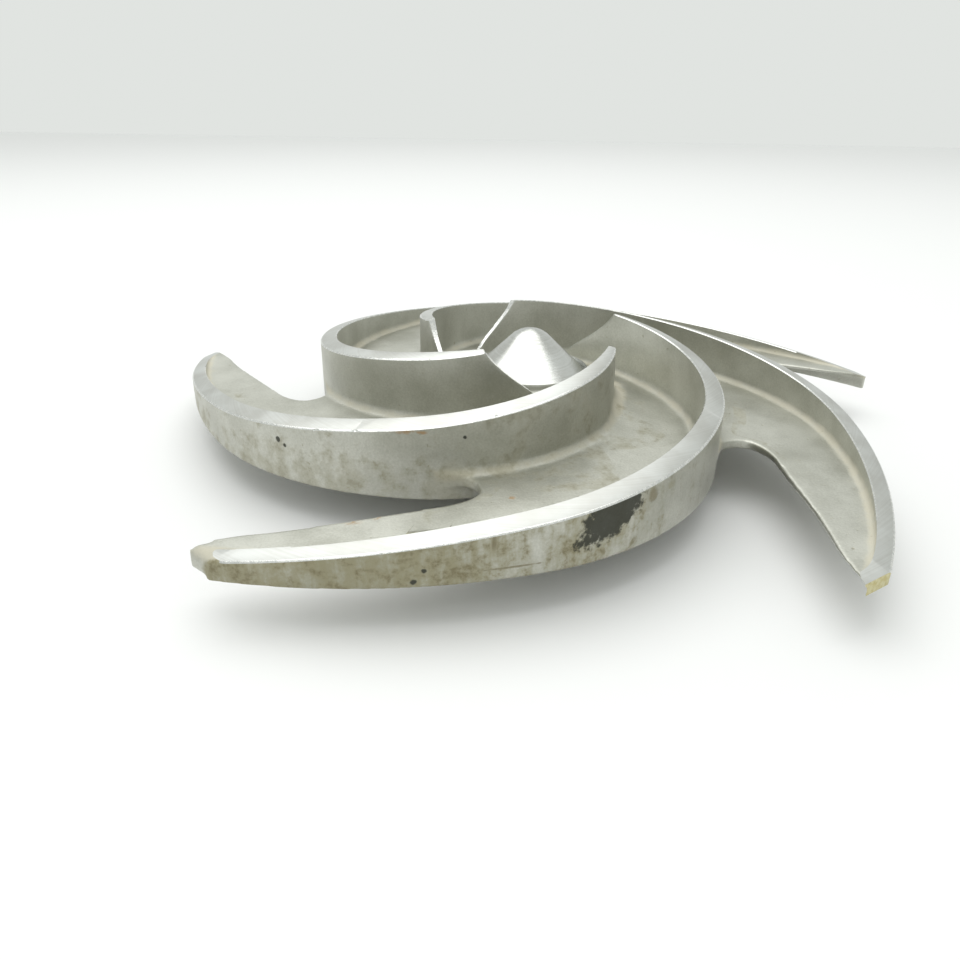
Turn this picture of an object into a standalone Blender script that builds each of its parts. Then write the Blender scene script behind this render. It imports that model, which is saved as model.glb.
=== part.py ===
"""Open pump impeller: one stainless-steel casting with five swept vanes on a star-shaped back shroud.

All sizes below are millimetres and degrees, and the model is built in metres, +Z up the shaft axis.
Heights are measured from the back face of the hub, on which the impeller rests. The origin is on the
shaft axis, at the flat inner end of the shaft bore.
"""
import bpy
import bmesh
from math import atan2, cos, radians, sin
from mathutils import Matrix, Vector

MM = 0.001

# Overall size
OUTER_RADIUS = 165.0
VANE_COUNT = 5

# How finely curves are divided
ROUND_STEPS = 80
VANE_STEP = 8.0
EDGE_PIECES = 3

# Shaft bore and hub boss on the back: radius, height
BORE_RADIUS = 14.0
BORE_DEPTH = 34.0
BORE_CHAMFER = 1.5
HUB_FACE_RADIUS = 29.0
HUB_CHAMFER = 1.0
HUB_FLANK = [(30.0, 7.0), (32.5, 10.6), (38.0, 13.8), (46.0, 16.6), (58.0, 18.3)]
SHROUD_BACK = [(80.0, 18.9), (120.0, 19.4), (170.0, 19.9)]

# Nose and front of the shroud, from the middle outwards: radius, height
NOSE = [(0.0, 51.5), (2.2, 51.3), (4.6, 50.6), (7.0, 49.2), (22.5, 34.4)]
SHROUD_FRONT = [(25.0, 32.7), (29.0, 30.6), (36.0, 28.2), (46.0, 26.1), (60.0, 24.4), (80.0, 22.8),
                (105.0, 22.0), (135.0, 21.3), (170.0, 20.7)]

# Vanes: the convex face in plan, walked inwards from the tip along arcs of radius and length
TIP_ANGLE = -51.8
TIP_HEADING = 63.3
VANE_ARCS = [(188.0, 99.0), (106.0, 91.0), (74.4, 128.0)]
TIP_OVERRUN = 8.0
TIP_THICKNESS = 4.7
MIDDLE_THICKNESS = 7.3
INLET_THICKNESS = 4.6
THICKEST_AT = 150.0
EYE_AT = 305.0
GROUND_FROM = 262.0
GROUND_LENGTH = 30.0
GROUND_OFF = 2.7

# Vane tops lie on one turned cone, and the back ribs under the vanes end on one flat
TOP_HEIGHT_AT_RIM = 19.4
TOP_RISE = 0.2715
RIB_FOOT_HEIGHT = 13.2

# Leading edges slope from this corner down along the vane to the floor of the eye
EDGE_CORNER = (40.2, 103.5)
EDGE_TILT = 47.0

# Scallops: the free edge of the shroud strip and the round root beside the next vane: radius, angle
FREE_EDGE = [(172.0, -57.6), (164.0, -55.2), (157.5, -53.9), (149.0, -51.9), (141.5, -49.3), (128.4, -44.4),
             (113.0, -37.2), (104.0, -31.1), (97.5, -27.9), (92.5, -27.0), (88.0, -28.4), (85.6, -31.3),
             (86.2, -34.6), (88.0, -38.3)]
ROOT_MEETS_VANE = 88.0
SINK_INTO_VANE = 0.3

# How far the cutting tools reach past the casting
REACH = 60.0

STEEL_COLOUR = (0.52, 0.51, 0.47, 1.0)
STEEL_ROUGHNESS = 0.45
SHARP_ANGLE = 30.0


def level(height):
    """A height above the hub's back face, as a Z coordinate in metres."""
    return (height - BORE_DEPTH) * MM


def top_height(radius):
    """Height of the vane tops at a radius."""
    return TOP_HEIGHT_AT_RIM + TOP_RISE * (OUTER_RADIUS - radius)


def polar(radius, degrees):
    """A plan point in millimetres from its radius and angle."""
    return Vector((radius * cos(radians(degrees)), radius * sin(radians(degrees))))


def new_collection(name):
    collection = bpy.data.collections.new(name)
    bpy.context.scene.collection.children.link(collection)
    return collection


def clean_mesh(mesh):
    """Weld the caps of a mesh to its walls and point all faces outwards."""
    work = bmesh.new()
    work.from_mesh(mesh)
    bmesh.ops.remove_doubles(work, verts=work.verts, dist=0.005 * MM)
    bmesh.ops.recalc_face_normals(work, faces=work.faces)
    work.to_mesh(mesh)
    work.free()


def frozen(source, name, collection):
    """The evaluated shape of an object as a mesh object of its own, at the world's origin."""
    bpy.context.view_layer.update()
    shape = source.evaluated_get(bpy.context.evaluated_depsgraph_get())
    mesh = bpy.data.meshes.new_from_object(shape)
    mesh.transform(source.matrix_world)
    clean_mesh(mesh)
    mesh.name = name
    bpy.data.objects.remove(source, do_unlink=True)
    item = bpy.data.objects.new(name, mesh)
    collection.objects.link(item)
    return item


def turned_solid(name, profile, collection):
    """A solid of revolution from pairs of radius and height that run down its outer side.

    A profile that starts on the axis also ends on it, and any other is closed into a ring.
    """
    mesh = bpy.data.meshes.new(name)
    corners = [(radius * MM, 0.0, level(height)) for radius, height in profile]
    edges = [(i, i + 1) for i in range(len(corners) - 1)]
    if profile[0][0] > 0.0:
        edges.append((len(corners) - 1, 0))
    mesh.from_pydata(corners, edges, [])
    item = bpy.data.objects.new(name, mesh)
    collection.objects.link(item)
    screw = item.modifiers.new("Turned", "SCREW")
    screw.steps = ROUND_STEPS
    screw.render_steps = ROUND_STEPS
    screw.use_merge_vertices = True
    screw.merge_threshold = 0.01 * MM
    return item


def extruded_solid(name, outline, low, high, collection):
    """A flat plan outline made solid between two heights."""
    curve = bpy.data.curves.new(name, "CURVE")
    curve.dimensions = "2D"
    curve.fill_mode = "BOTH"
    curve.extrude = (level(high) - level(low)) / 2
    spline = curve.splines.new("POLY")
    spline.points.add(len(outline) - 1)
    for point, place in zip(spline.points, outline):
        point.co = (place.x * MM, place.y * MM, 0.0, 1.0)
    spline.use_cyclic_u = True
    drawn = bpy.data.objects.new(name + "_outline", curve)
    drawn.location.z = (level(low) + level(high)) / 2
    collection.objects.link(drawn)
    return frozen(drawn, name, collection)


def repeat_round_axis(item, turn):
    """One copy for each vane, turned about the shaft axis with the help of an empty."""
    array = item.modifiers.new("Round the shaft", "ARRAY")
    array.count = VANE_COUNT
    array.use_relative_offset = False
    array.use_object_offset = True
    array.offset_object = turn


def combine(item, tool, operation):
    """Add the tool's shape to the item, or cut it away."""
    modifier = item.modifiers.new(tool.name, "BOOLEAN")
    modifier.operation = operation
    modifier.solver = "EXACT"
    modifier.object = tool
    tool.hide_render = True
    tool.display_type = "WIRE"


def vane_trail():
    """Place, heading and distance walked along the convex face, from beyond the rim into the eye."""
    heading = radians(TIP_HEADING)
    place = polar(OUTER_RADIUS, TIP_ANGLE)
    outwards = Vector((-cos(heading), -sin(heading)))
    trail = [(place + outwards * TIP_OVERRUN, heading, 0.0), (place, heading, 0.0)]
    walked = 0.0
    for radius, length in VANE_ARCS:
        count = round(length / VANE_STEP)
        bend = length / radius / count
        for _ in range(count):
            middle = heading + bend / 2
            place = place + Vector((cos(middle), sin(middle))) * 2 * radius * sin(bend / 2)
            heading += bend
            walked += length / count
            trail.append((place, heading, walked))
    return trail


def vane_thickness(walked):
    """Thickness as cast at a distance from the tip: most in the middle, less towards both ends."""
    if walked < THICKEST_AT:
        away = 1 - walked / THICKEST_AT
        loss = MIDDLE_THICKNESS - TIP_THICKNESS
    else:
        away = (walked - THICKEST_AT) / (EYE_AT - THICKEST_AT)
        loss = MIDDLE_THICKNESS - INLET_THICKNESS
    return MIDDLE_THICKNESS - loss * min(away, 1.0) ** 2


def ground_off(walked):
    """How much is ground off the convex face, to sharpen the vane towards its leading edge."""
    share = (walked - GROUND_FROM) / GROUND_LENGTH
    return GROUND_OFF * min(max(share, 0.0), 1.0) ** 2


def vane_line(share):
    """The vane's plan line, moved from its convex face towards its hollow face by this share."""
    line = []
    for place, heading, walked in vane_trail():
        across = Vector((-sin(heading), cos(heading)))
        ground = ground_off(walked)
        line.append(place + across * (ground + (vane_thickness(walked) - ground) * share))
    return line


def smooth_line(points, pieces):
    """A smooth curve that passes through all the points."""
    line = []
    last = len(points) - 1
    for i in range(last):
        before, start, end, after = (points[max(0, min(i + k, last))] for k in (-1, 0, 1, 2))
        for j in range(pieces):
            t = j / pieces
            line.append(0.5 * (2 * start + (end - before) * t
                               + (2 * before - 5 * start + 4 * end - after) * t ** 2
                               + (3 * start - before - 3 * end + after) * t ** 3))
    line.append(points[last])
    return line


def scallop_outline():
    """The gap between the first vane's shroud strip and the convex face of the vane before it."""
    free_edge = smooth_line([polar(*pair) for pair in FREE_EDGE], EDGE_PIECES)
    turn = Matrix.Rotation(radians(-360.0 / VANE_COUNT), 2)
    neighbour = [turn @ point for point in vane_line(SINK_INTO_VANE)]
    neighbour = [point for point in neighbour if point.length > ROOT_MEETS_VANE][::-1]
    first = atan2(neighbour[-1].y, neighbour[-1].x)
    last = atan2(free_edge[0].y, free_edge[0].x)
    far = OUTER_RADIUS + REACH / 2
    outside = []
    for quarter in range(5):
        angle = first + (last - first) * quarter / 4
        outside.append(Vector((cos(angle), sin(angle))) * far)
    return free_edge + neighbour + outside


def make_edge_tool(tools):
    """A block whose lower face is the sloping leading edge of the first vane."""
    corner = polar(*EDGE_CORNER)
    heading = min(vane_trail(), key=lambda step: (step[0] - corner).length)[1]
    bpy.ops.mesh.primitive_cube_add(size=2 * REACH * MM)
    block = bpy.context.object
    block.name = "ahead_of_leading_edge"
    for owner in list(block.users_collection):
        owner.objects.unlink(block)
    tools.objects.link(block)
    lift = Matrix.Translation((0.0, 0.0, REACH * MM))
    tilt = Matrix.Rotation(radians(EDGE_TILT), 4, "Y")
    aim = Matrix.Rotation(heading, 4, "Z")
    place = Matrix.Translation((corner.x * MM, corner.y * MM, level(top_height(corner.length))))
    block.data.transform(place @ aim @ tilt @ lift)
    return block


def make_vanes(tools, turn):
    """All five vanes, each one wall from the foot of its back rib to above the turned tops."""
    outline = vane_line(0.0) + vane_line(1.0)[::-1]
    walls = extruded_solid("vane_walls", outline, RIB_FOOT_HEIGHT, top_height(0.0), tools)
    combine(walls, make_edge_tool(tools), "DIFFERENCE")
    repeat_round_axis(walls, turn)
    return walls


def make_scallops(tools, turn):
    scallops = extruded_solid("scallops", scallop_outline(), -REACH, REACH, tools)
    repeat_round_axis(scallops, turn)
    return scallops


def make_top_tool(tools):
    """Everything above the cone of the vane tops."""
    far = OUTER_RADIUS + REACH
    above = top_height(0.0) + REACH
    profile = [(0.0, above), (far, above), (far, top_height(far)), (0.0, top_height(0.0))]
    return turned_solid("above_vane_tops", profile, tools)


def make_rim_tool(tools):
    """Everything outside the turned rim."""
    far = OUTER_RADIUS + REACH
    profile = [(OUTER_RADIUS, REACH), (far, REACH), (far, -REACH), (OUTER_RADIUS, -REACH)]
    return turned_solid("outside_rim", profile, tools)


def make_blank(tools):
    """The turned hub, nose and shroud, from the nose over the rim and back into the bore."""
    hub = [(HUB_FLANK[0][0], HUB_CHAMFER), (HUB_FACE_RADIUS, 0.0), (BORE_RADIUS + BORE_CHAMFER, 0.0),
           (BORE_RADIUS, BORE_CHAMFER), (BORE_RADIUS, BORE_DEPTH), (0.0, BORE_DEPTH)]
    profile = NOSE + SHROUD_FRONT + SHROUD_BACK[::-1] + HUB_FLANK[::-1] + hub
    return turned_solid("blank", profile, tools)


def make_steel():
    steel = bpy.data.materials.new("cast_stainless_steel")
    steel.use_nodes = True
    shader = steel.node_tree.nodes["Principled BSDF"]
    shader.inputs["Base Color"].default_value = STEEL_COLOUR
    shader.inputs["Roughness"].default_value = STEEL_ROUGHNESS
    shader.inputs["Metallic"].default_value = 1.0
    return steel


def make_impeller(parts, tools):
    """Cut the scallops, add the vanes, then turn the vane tops and the rim as one casting."""
    turn = bpy.data.objects.new("one_vane_further", None)
    turn.rotation_euler.z = radians(360.0 / VANE_COUNT)
    tools.objects.link(turn)
    blank = make_blank(tools)
    combine(blank, make_scallops(tools, turn), "DIFFERENCE")
    combine(blank, make_vanes(tools, turn), "UNION")
    combine(blank, make_top_tool(tools), "DIFFERENCE")
    combine(blank, make_rim_tool(tools), "DIFFERENCE")
    impeller = frozen(blank, "impeller", parts)
    impeller.data.materials.clear()
    impeller.data.materials.append(make_steel())
    impeller.data.shade_smooth()
    impeller.data.set_sharp_from_angle(angle=radians(SHARP_ANGLE))
    return impeller


def main():
    for item in list(bpy.data.objects):
        bpy.data.objects.remove(item, do_unlink=True)
    parts = new_collection("pump_impeller")
    tools = new_collection("cutters")
    impeller = make_impeller(parts, tools)
    print(impeller.name, "has", len(impeller.data.polygons), "faces")


main()
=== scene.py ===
# %% [markdown]
# # A pump impeller, cast and then machined
#
# This notebook dresses an open pump impeller in Blender. The real one is poured in one piece of stainless
# steel: a star-shaped back shroud, five swept vanes, a hub with a round nose, and ribs on the back. Then a
# lathe cuts only the faces that have to be true. The notebook works in the same order, because a casting
# gets its soft corners before a tool gives it any sharp ones.

import bmesh
import bpy
import numpy as np
from math import atan2, cos, hypot, pi, radians, sin, tau
from mathutils import Matrix, Vector
from random import Random


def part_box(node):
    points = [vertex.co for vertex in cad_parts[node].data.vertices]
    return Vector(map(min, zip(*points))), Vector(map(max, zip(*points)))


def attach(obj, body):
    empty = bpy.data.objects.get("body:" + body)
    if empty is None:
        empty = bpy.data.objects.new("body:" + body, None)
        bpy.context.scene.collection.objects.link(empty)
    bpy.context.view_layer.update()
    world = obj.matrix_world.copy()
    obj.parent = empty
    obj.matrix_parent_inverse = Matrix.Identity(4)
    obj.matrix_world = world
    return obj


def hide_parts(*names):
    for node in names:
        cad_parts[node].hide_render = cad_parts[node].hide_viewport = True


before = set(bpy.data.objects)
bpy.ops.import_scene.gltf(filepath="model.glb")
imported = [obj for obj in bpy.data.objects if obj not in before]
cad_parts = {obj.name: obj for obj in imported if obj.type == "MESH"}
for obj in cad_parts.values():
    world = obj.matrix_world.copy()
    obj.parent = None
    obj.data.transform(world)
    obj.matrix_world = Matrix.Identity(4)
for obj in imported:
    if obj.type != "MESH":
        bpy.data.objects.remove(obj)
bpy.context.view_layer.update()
lowest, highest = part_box("impeller")
print("the packed impeller is", [round(side * 1000, 1) for side in highest - lowest], "mm")

# %% [markdown]
# ## Sizes
#
# Sizes below are millimetres and degrees, and heights are measured from the back face of the hub, on which
# the impeller lies. Blender works in metres with the origin inside the shaft bore, so two helpers translate.

# %% Sizes of the casting
MM = 0.001
OUTER_RADIUS = 165.0
VANE_COUNT = 5
ARM_TURN = tau / VANE_COUNT

SHROUD_FRONT = [(24.5, 33.0), (29.0, 30.6), (36.0, 28.2), (46.0, 26.1), (60.0, 24.4), (80.0, 22.8),
                (105.0, 22.0), (135.0, 21.3), (170.0, 20.7)]
SHROUD_BACK = [(30.0, 7.0), (32.5, 10.6), (38.0, 13.8), (46.0, 16.6), (58.0, 18.3), (80.0, 18.9),
               (120.0, 19.4), (170.0, 19.9)]
TOP_HEIGHT_AT_RIM = 19.4
TOP_RISE = 0.2715
RIB_FOOT_HEIGHT = 13.2


def level(height):
    """A height above the bench as a Z coordinate in metres."""
    return lowest.z + height * MM


def top_height(radius):
    """Height of the turned vane tops at a radius."""
    return TOP_HEIGHT_AT_RIM + TOP_RISE * (OUTER_RADIUS - radius)


def polar(radius, degrees):
    """A plan point in millimetres from its radius and angle."""
    return Vector((radius * cos(radians(degrees)), radius * sin(radians(degrees))))


def read_off(profile, radius):
    """Height of a turned profile at a radius, on the straight between its two nearest points."""
    for (near, low), (far, high) in zip(profile, profile[1:]):
        if radius <= far:
            return low + (high - low) * (radius - near) / (far - near)
    return profile[-1][1]


print("vane tops fall from", round(top_height(40.0), 1), "to", TOP_HEIGHT_AT_RIM, "mm at the rim")

# %% [markdown]
# ## Camera
#
# The photograph was taken from close by, a little to the left of the middle, so near arms look much larger
# than far ones. The lens and place below come from matching the rim, the nose and the vane tips of the solid
# to the picture. A camera looks along its own -Z axis, so it is tipped up from straight down first.

# %% Camera
CAMERA_PLACE = (0.0, -327.4, 142.3)
CAMERA_PITCH = 26.15
CAMERA_YAW = 3.50
CAMERA_ROLL = 0.72
CAMERA_LENS = 30.54
SENSOR_WIDTH = 36.0
NEAREST_SEEN = 10.0

camera = bpy.data.objects.new("camera", bpy.data.cameras.new("camera"))
bpy.context.scene.collection.objects.link(camera)
camera.data.lens = CAMERA_LENS
camera.data.sensor_width = SENSOR_WIDTH
camera.data.clip_start = NEAREST_SEEN * MM
camera.location = (CAMERA_PLACE[0] * MM, CAMERA_PLACE[1] * MM, level(CAMERA_PLACE[2]))
aim = Matrix.Rotation(radians(CAMERA_YAW), 3, "Z") @ Matrix.Rotation(radians(90.0 - CAMERA_PITCH), 3, "X")
camera.rotation_euler = (aim @ Matrix.Rotation(radians(CAMERA_ROLL), 3, "Z")).to_euler()
bpy.context.scene.camera = camera
print("camera", round(hypot(*CAMERA_PLACE)), "mm from the point on the bench below the shaft")

# %% [markdown]
# ## Helpers for meshes
#
# Every solid starts as a bmesh, and is welded, turned right side out and made an object by one helper. The
# shapes are cast together later, so they may overlap, but each has to be closed. Arms repeat five times
# around the shaft, which is a duplicate and a rotation.

# %% Mesh helpers
WELD = 0.01 * MM
ORIGIN = (0.0, 0.0, 0.0)
SHAFT = (0.0, 0.0, 1.0)


def to_object(work, name):
    """Weld a bmesh, point its faces outwards and make it an object."""
    bmesh.ops.remove_doubles(work, verts=work.verts, dist=WELD)
    bmesh.ops.recalc_face_normals(work, faces=work.faces)
    mesh = bpy.data.meshes.new(name)
    work.to_mesh(mesh)
    work.free()
    item = bpy.data.objects.new(name, mesh)
    bpy.context.scene.collection.objects.link(item)
    return item


def vertices_of(geometry):
    """The vertices among what an operator made."""
    return [part for part in geometry if isinstance(part, bmesh.types.BMVert)]


def repeat_round_shaft(item):
    """Copy a shape once for each arm, turned about the shaft."""
    work = bmesh.new()
    work.from_mesh(item.data)
    first = list(work.verts) + list(work.edges) + list(work.faces)
    for arm in range(1, VANE_COUNT):
        copied = bmesh.ops.duplicate(work, geom=first)["geom"]
        spun = Matrix.Rotation(ARM_TURN * arm, 3, "Z")
        bmesh.ops.rotate(work, verts=vertices_of(copied), cent=ORIGIN, matrix=spun)
    work.to_mesh(item.data)
    work.free()
    return item


def bake_modifiers(item):
    """Replace an object's mesh by the result of its modifiers."""
    shape = item.evaluated_get(bpy.context.evaluated_depsgraph_get())
    mesh = bpy.data.meshes.new_from_object(shape)
    item.modifiers.clear()
    spent = item.data
    item.data = mesh
    bpy.data.meshes.remove(spent)


def cut(item, tool, operation="DIFFERENCE", keep_tool=False):
    """Combine two closed shapes; new faces take the tool's material with them."""
    modifier = item.modifiers.new("cut", "BOOLEAN")
    modifier.operation = operation
    modifier.solver = "MANIFOLD"
    modifier.material_mode = "TRANSFER"
    modifier.object = tool
    bake_modifiers(item)
    if not keep_tool:
        bpy.data.objects.remove(tool)


# %% [markdown]
# ## The turned blank
#
# Hub, nose and shroud are round, so they could be stacked from cylinders and cones. One profile spun about
# the shaft gives the same with no seams between them. Everything that a lathe will cut later keeps a little
# stock here, as on the foundry's pattern.

# %% Spin the blank
SPIN_STEPS = 256
STOCK = 1.2
NOSE_STOCK = [(0.0, 53.5), (8.0, 51.0), (24.5, 35.0)]


def spin_profile(name, profile):
    """A solid of revolution from pairs of radius and height, closed on the axis or on itself."""
    work = bmesh.new()
    points = [work.verts.new((radius * MM, 0.0, level(height))) for radius, height in profile]
    lines = [work.edges.new(pair) for pair in zip(points, points[1:])]
    if profile[0][0] > 0.0:
        lines.append(work.edges.new((points[-1], points[0])))
    bmesh.ops.spin(work, geom=points + lines, cent=ORIGIN, axis=SHAFT, angle=tau, steps=SPIN_STEPS,
                   use_merge=True)
    return to_object(work, name)


under_hub = [(SHROUD_BACK[0][0], -STOCK), (0.0, -STOCK)]
blank = spin_profile("blank", NOSE_STOCK + SHROUD_FRONT + SHROUD_BACK[::-1] + under_hub)
print("the blank has", len(blank.data.polygons), "faces")

# %% [markdown]
# ## The line of a vane
#
# In plan each vane follows three arcs, flat at the tip and tighter towards the eye. Walking along them in
# short steps gives, at each station, a place, a heading and the distance walked. Everything that follows a
# vane uses those stations: the wall, its root fillets and the edge of the scallop beside it.

# %% Walk along a vane
TIP_ANGLE = -51.8
TIP_HEADING = 63.3
VANE_ARCS = [(188.0, 99.0), (106.0, 91.0), (74.4, 128.0)]
TIP_OVERRUN = 8.0
STATION_STEP = 3.0
TIP_THICKNESS = 4.7
MIDDLE_THICKNESS = 7.3
INLET_THICKNESS = 4.6
THICKEST_AT = 150.0
EYE_AT = 305.0
GROUND_FROM = 262.0
GROUND_LENGTH = 30.0
GROUND_OFF = 2.7


def walk_vane():
    """Stations of the convex face: place, direction across the vane and distance walked from the tip."""
    heading = radians(TIP_HEADING)
    place = polar(OUTER_RADIUS, TIP_ANGLE)
    back = Vector((-cos(heading), -sin(heading))) * TIP_OVERRUN
    across = Vector((-sin(heading), cos(heading)))
    stations = [(place + back, across, 0.0), (place, across, 0.0)]
    walked = 0.0
    for radius, length in VANE_ARCS:
        count = round(length / STATION_STEP)
        bend = length / radius / count
        for _ in range(count):
            middle = heading + bend / 2
            place = place + Vector((cos(middle), sin(middle))) * 2 * radius * sin(bend / 2)
            heading += bend
            walked += length / count
            stations.append((place, Vector((-sin(heading), cos(heading))), walked))
    return stations


def vane_thickness(walked):
    """Thickness as cast at a distance from the tip: most in the middle, less towards both ends."""
    if walked < THICKEST_AT:
        away = 1 - walked / THICKEST_AT
        loss = MIDDLE_THICKNESS - TIP_THICKNESS
    else:
        away = (walked - THICKEST_AT) / (EYE_AT - THICKEST_AT)
        loss = MIDDLE_THICKNESS - INLET_THICKNESS
    return MIDDLE_THICKNESS - loss * min(away, 1.0) ** 2


def ground_off(walked):
    """How much is ground off the convex face, to sharpen the vane towards its leading edge."""
    share = (walked - GROUND_FROM) / GROUND_LENGTH
    return GROUND_OFF * min(max(share, 0.0), 1.0) ** 2


vane_stations = walk_vane()
print("a vane is", round(vane_stations[-1][2]), "mm long in", len(vane_stations), "stations")

# %% [markdown]
# ## Vane walls
#
# A wall could be a curve with a thickness, but its height and its thickness both change on the way. So one
# outline, drawn across the vane, is extruded from station to station, and the new corners move to their
# places each time. The fillets reuse the same sweep with another outline.

# %% Sweep an outline along a vane
WALL_STOCK = 3.0


def sweep(name, outline_at, stations=vane_stations):
    """A solid that follows the vane; outline_at gives corners as distance across and height."""
    def corners(station):
        place, across, _ = station
        return [((place + across * side) * MM).to_3d() + Vector((0.0, 0.0, level(height)))
                for side, height in outline_at(station)]

    work = bmesh.new()
    face = work.faces.new([work.verts.new(corner) for corner in corners(stations[0])])
    for number, station in enumerate(stations[1:]):
        grown = bmesh.ops.extrude_face_region(work, geom=[face])["geom"]
        if number > 0:
            bmesh.ops.delete(work, geom=[face], context="FACES_ONLY")
        face = next(part for part in grown if isinstance(part, bmesh.types.BMFace))
        for vertex, corner in zip(face.verts, corners(station)):
            vertex.co = corner
    return to_object(work, name)


def wall_sides(station):
    """Both sides of the wall at a station: how far across they stand and how high their tops are."""
    place, across, walked = station
    sides = (ground_off(walked), vane_thickness(walked))
    return [(side, top_height((place + across * side).length)) for side in sides]


def wall_outline(station):
    """The wall as cast, with stock on its top for the lathe."""
    (convex, convex_top), (hollow, hollow_top) = wall_sides(station)
    return [(convex, RIB_FOOT_HEIGHT), (hollow, RIB_FOOT_HEIGHT), (hollow, hollow_top + WALL_STOCK),
            (convex, convex_top + WALL_STOCK)]


walls = sweep("walls", wall_outline)
print("one wall has", len(walls.data.polygons), "faces")

# %% [markdown]
# ## Leading edges
#
# At the eye each vane ends in a narrow face that slopes down to the floor around the nose. It bows a little,
# because it is ground by hand, so a flat block would cut it too straight. The cutter is another sweep along
# the vane, and its lower side follows the slope. It is used twice: with some stock to spare before the
# casting is poured, and to size afterwards as the grinding.

# %% Slope the leading edges
LEADING_EDGE = [(284.0, 58.0), (288.0, 53.0), (291.0, 49.3), (295.0, 45.6), (300.0, 41.7), (305.0, 38.3),
                (309.0, 35.2), (313.0, 31.0), (330.0, 12.0)]
EDGE_CUTTER_SIDE = 8.0
EDGE_CUTTER_TOP = 64.0
CAST_EDGE_STOCK = 0.6
CUT_TO_END = 318.0
GRIND_TO = 311.0


def make_edge_cutter(stock, last):
    """What is cut away above the leading edge up to a distance along it, less a stock that stays on."""
    def outline(station):
        low = read_off(LEADING_EDGE, station[2]) + stock
        return [(-EDGE_CUTTER_SIDE, low), (EDGE_CUTTER_SIDE, low), (EDGE_CUTTER_SIDE, EDGE_CUTTER_TOP),
                (-EDGE_CUTTER_SIDE, EDGE_CUTTER_TOP)]

    eye = [station for station in vane_stations if LEADING_EDGE[0][0] < station[2] < last + STATION_STEP]
    return sweep("edge_cutter", outline, eye)


cut(walls, make_edge_cutter(CAST_EDGE_STOCK, CUT_TO_END))
repeat_round_shaft(walls)

# %% [markdown]
# ## Root fillets
#
# Molten steel doesn't fill a sharp inside corner well, so the pattern has a fillet wherever a wall meets the
# shroud. It is wide near the hub and thin at the tips. Each fillet is swept as a small cove: a wedge whose
# long side is a quarter circle, with its back sunk into the wall and its foot sunk into the shroud.

# %% Sweep the root fillets
COVE_STEPS = 6
COVE_SINK = 1.2
HOLLOW_COVE = (1.2, 3.5)
CONVEX_COVE = (0.4, 3.4)
BACK_COVE = (0.4, 2.0)
HOLLOW_COVE_FULL = 230.0
CONVEX_COVE_STARTS = 150.0
CONVEX_COVE_GROWS = 60.0


def hollow_radius(walked):
    """The fillet on the hollow side grows all the way from the tip."""
    least, most = HOLLOW_COVE
    return least + (most - least) * min(1.0, walked / HOLLOW_COVE_FULL)


def convex_radius(limits, walked):
    """The fillet on the convex side stays thin beside the scallop and then grows."""
    least, most = limits
    share = (walked - CONVEX_COVE_STARTS) / CONVEX_COVE_GROWS
    return least + (most - least) * max(0.0, min(1.0, share))


def cove(name, side, profile, upwards, radius_at):
    """A fillet on the hollow side (side 1) or convex side (side -1) of the vanes."""
    def outline(station):
        place, across, walked = station
        radius = radius_at(walked)
        wall = vane_thickness(walked) if side > 0 else ground_off(walked)

        def surface(distance):
            return read_off(profile, (place + across * distance).length)

        corners = [(wall - side * COVE_SINK, surface(wall) + upwards * radius)]
        for step in range(COVE_STEPS + 1):
            turn = pi / 2 * step / COVE_STEPS
            distance = wall + side * radius * (1 - cos(turn))
            corners.append((distance, surface(distance) + upwards * radius * (1 - sin(turn))))
        foot = wall + side * radius
        corners.append((foot, surface(foot) - upwards * COVE_SINK))
        corners.append((wall - side * COVE_SINK, surface(wall) - upwards * COVE_SINK))
        return corners

    return sweep(name, outline)


coves = [cove("hollow_cove", 1, SHROUD_FRONT, 1, hollow_radius),
         cove("convex_cove", -1, SHROUD_FRONT, 1, lambda walked: convex_radius(CONVEX_COVE, walked)),
         cove("hollow_rib_cove", 1, SHROUD_BACK, -1, lambda walked: BACK_COVE[1]),
         cove("convex_rib_cove", -1, SHROUD_BACK, -1, lambda walked: convex_radius(BACK_COVE, walked))]
for piece in coves:
    cut(piece, make_edge_cutter(CAST_EDGE_STOCK, CUT_TO_END))
    repeat_round_shaft(piece)

# %% [markdown]
# ## Scallops
#
# Between two arms the shroud is cut back to a deep scallop, which lowers the thrust on the pump's shaft.
# Its outline has a free edge, measured as a few points and made smooth, a round root, and then the convex
# face of the next vane. The outline stays just inside that vane, so no two surfaces coincide.

# %% Cut the scallops
FREE_EDGE = [(172.0, -57.6), (164.0, -55.2), (157.5, -53.9), (149.0, -51.9), (141.5, -49.3), (128.4, -44.4),
             (113.0, -37.2), (104.0, -31.1), (97.5, -27.9), (92.5, -27.0), (88.0, -28.4), (85.6, -31.3),
             (86.2, -34.6), (88.0, -38.3)]
EDGE_PIECES = 5
ROOT_MEETS_VANE = 88.0
INSIDE_VANE = 0.3
FAR_RADIUS = 195.0
FAR_PIECES = 4
CUTTER_FOOT = -30.0
CUTTER_HEIGHT = 120.0


def smooth_line(points, pieces):
    """A smooth curve that passes through all the points."""
    line = []
    last = len(points) - 1
    for i in range(last):
        before, start, end, after = (points[max(0, min(i + k, last))] for k in (-1, 0, 1, 2))
        for j in range(pieces):
            t = j / pieces
            line.append(0.5 * (2 * start + (end - before) * t
                               + (2 * before - 5 * start + 4 * end - after) * t ** 2
                               + (3 * start - before - 3 * end + after) * t ** 3))
    line.append(points[last])
    return line


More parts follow.
